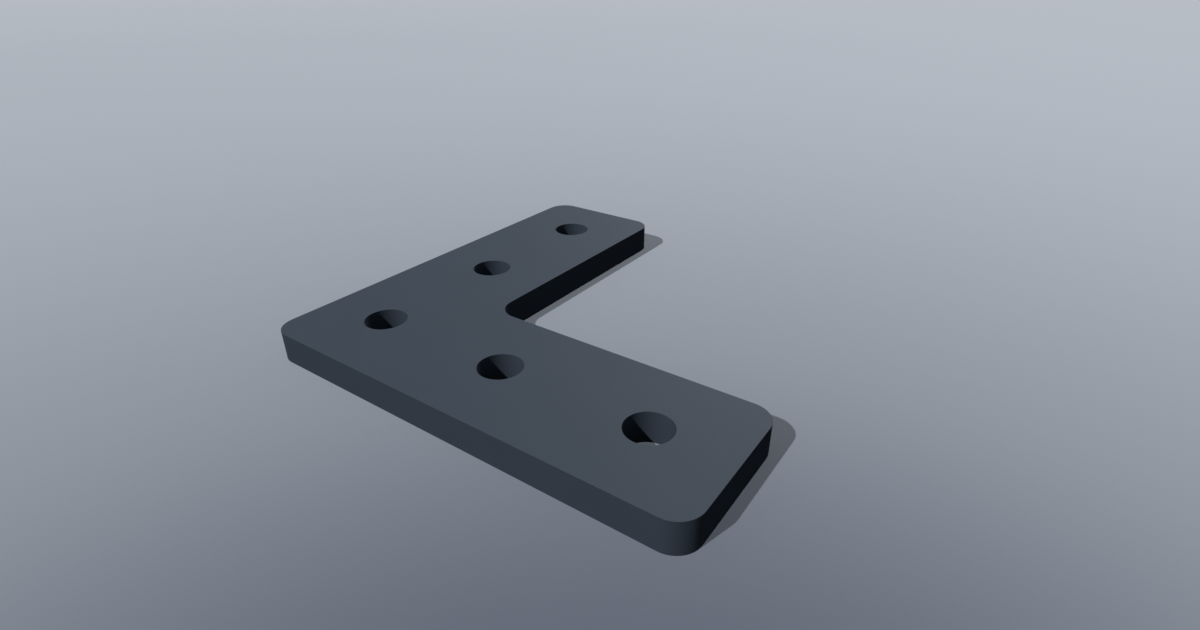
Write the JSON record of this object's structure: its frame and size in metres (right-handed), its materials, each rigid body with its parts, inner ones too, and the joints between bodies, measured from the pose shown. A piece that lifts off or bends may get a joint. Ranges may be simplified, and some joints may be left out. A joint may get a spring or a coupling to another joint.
{
  "type": "l gusset plate",
  "caption": "Flat L-shaped gusset plate that joins two slotted profiles at a square corner, with a row of screw clearance holes along each arm.",
  "frame": {"origin": "centre of the corner hole on the face that lies against the profiles", "axes": "+X along arm A, +Y along arm B, +Z through the thickness, away from the profiles"},
  "size_m": [0.06, 0.06, 0.004],
  "materials": {
    "slate_anodised": "matte"
  },
  "bodies": {
    "root": {"gusset_plate": "slate_anodised"}
  },
  "joints": []
}
